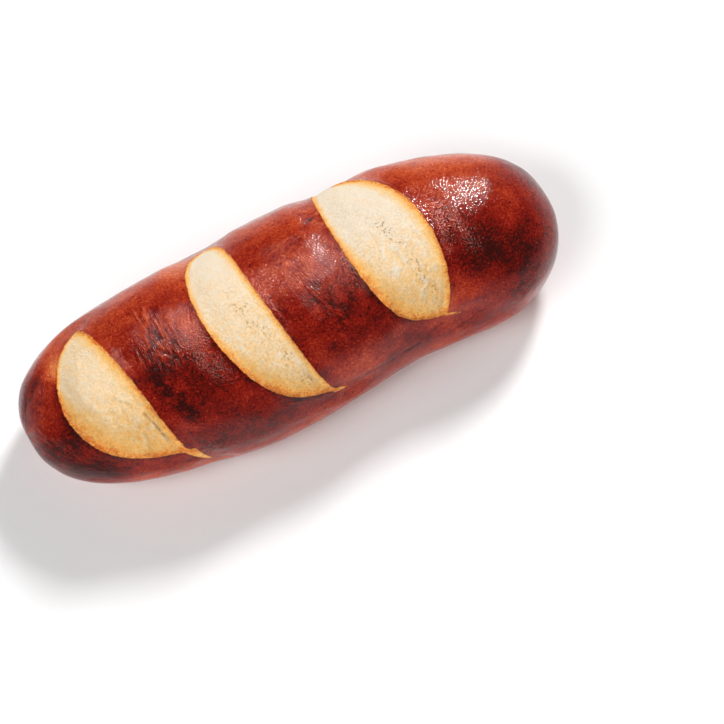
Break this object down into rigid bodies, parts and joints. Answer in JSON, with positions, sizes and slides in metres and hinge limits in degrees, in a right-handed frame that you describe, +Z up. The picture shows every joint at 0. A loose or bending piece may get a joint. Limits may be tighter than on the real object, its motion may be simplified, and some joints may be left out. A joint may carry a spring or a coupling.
{
  "type": "pretzel hot dog bun",
  "caption": "Torpedo-shaped lye bun for a sausage, with a glossy mahogany crust, slanting slashes where pale crumb has risen, and a flat base.",
  "frame": {"origin": "middle of the flat base", "axes": "+X along the bun towards its blunter end, +Y towards the side where the slashes start, +Z up"},
  "size_m": [0.16, 0.0578, 0.044],
  "materials": {
    "crust": "glossy baked lye crust, mahogany brown, with matt cream crumb in its slashes"
  },
  "bodies": {
    "root": {"bun": "crust"}
  },
  "joints": []
}
